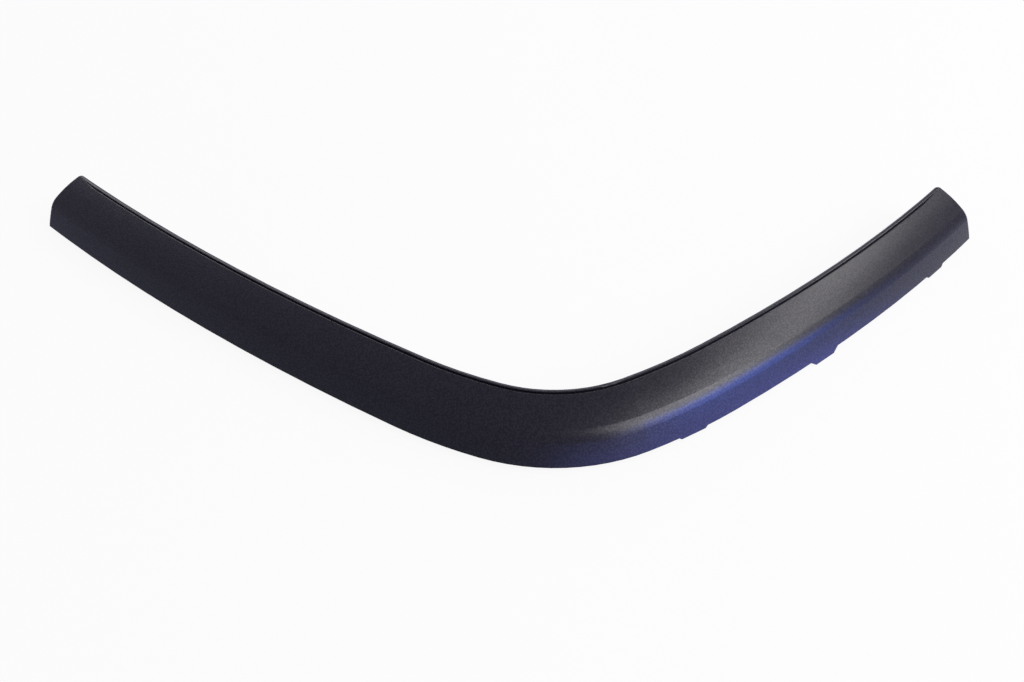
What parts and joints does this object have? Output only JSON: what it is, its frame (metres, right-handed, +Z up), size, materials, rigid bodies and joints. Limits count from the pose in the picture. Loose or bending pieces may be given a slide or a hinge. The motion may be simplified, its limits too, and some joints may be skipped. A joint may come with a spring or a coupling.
{
  "type": "wheel arch trim",
  "caption": "Boomerang-shaped moulded plastic trim strip with a crowned face, rim and return flange that edges a car's wheel arch.",
  "frame": {"origin": "below the middle of the trim's box, on the plane of the return flange's lower edge, on which it lies", "axes": "+X along the trim from its left end to its right end, +Y to the wheel side, +Z up out of the show face"},
  "size_m": [0.7856, 0.2895, 0.0368],
  "materials": {
    "grained_plastic": "fine moulded grain, satin black"
  },
  "bodies": {
    "root": {"wheel_arch_trim": "grained_plastic"}
  },
  "joints": []
}
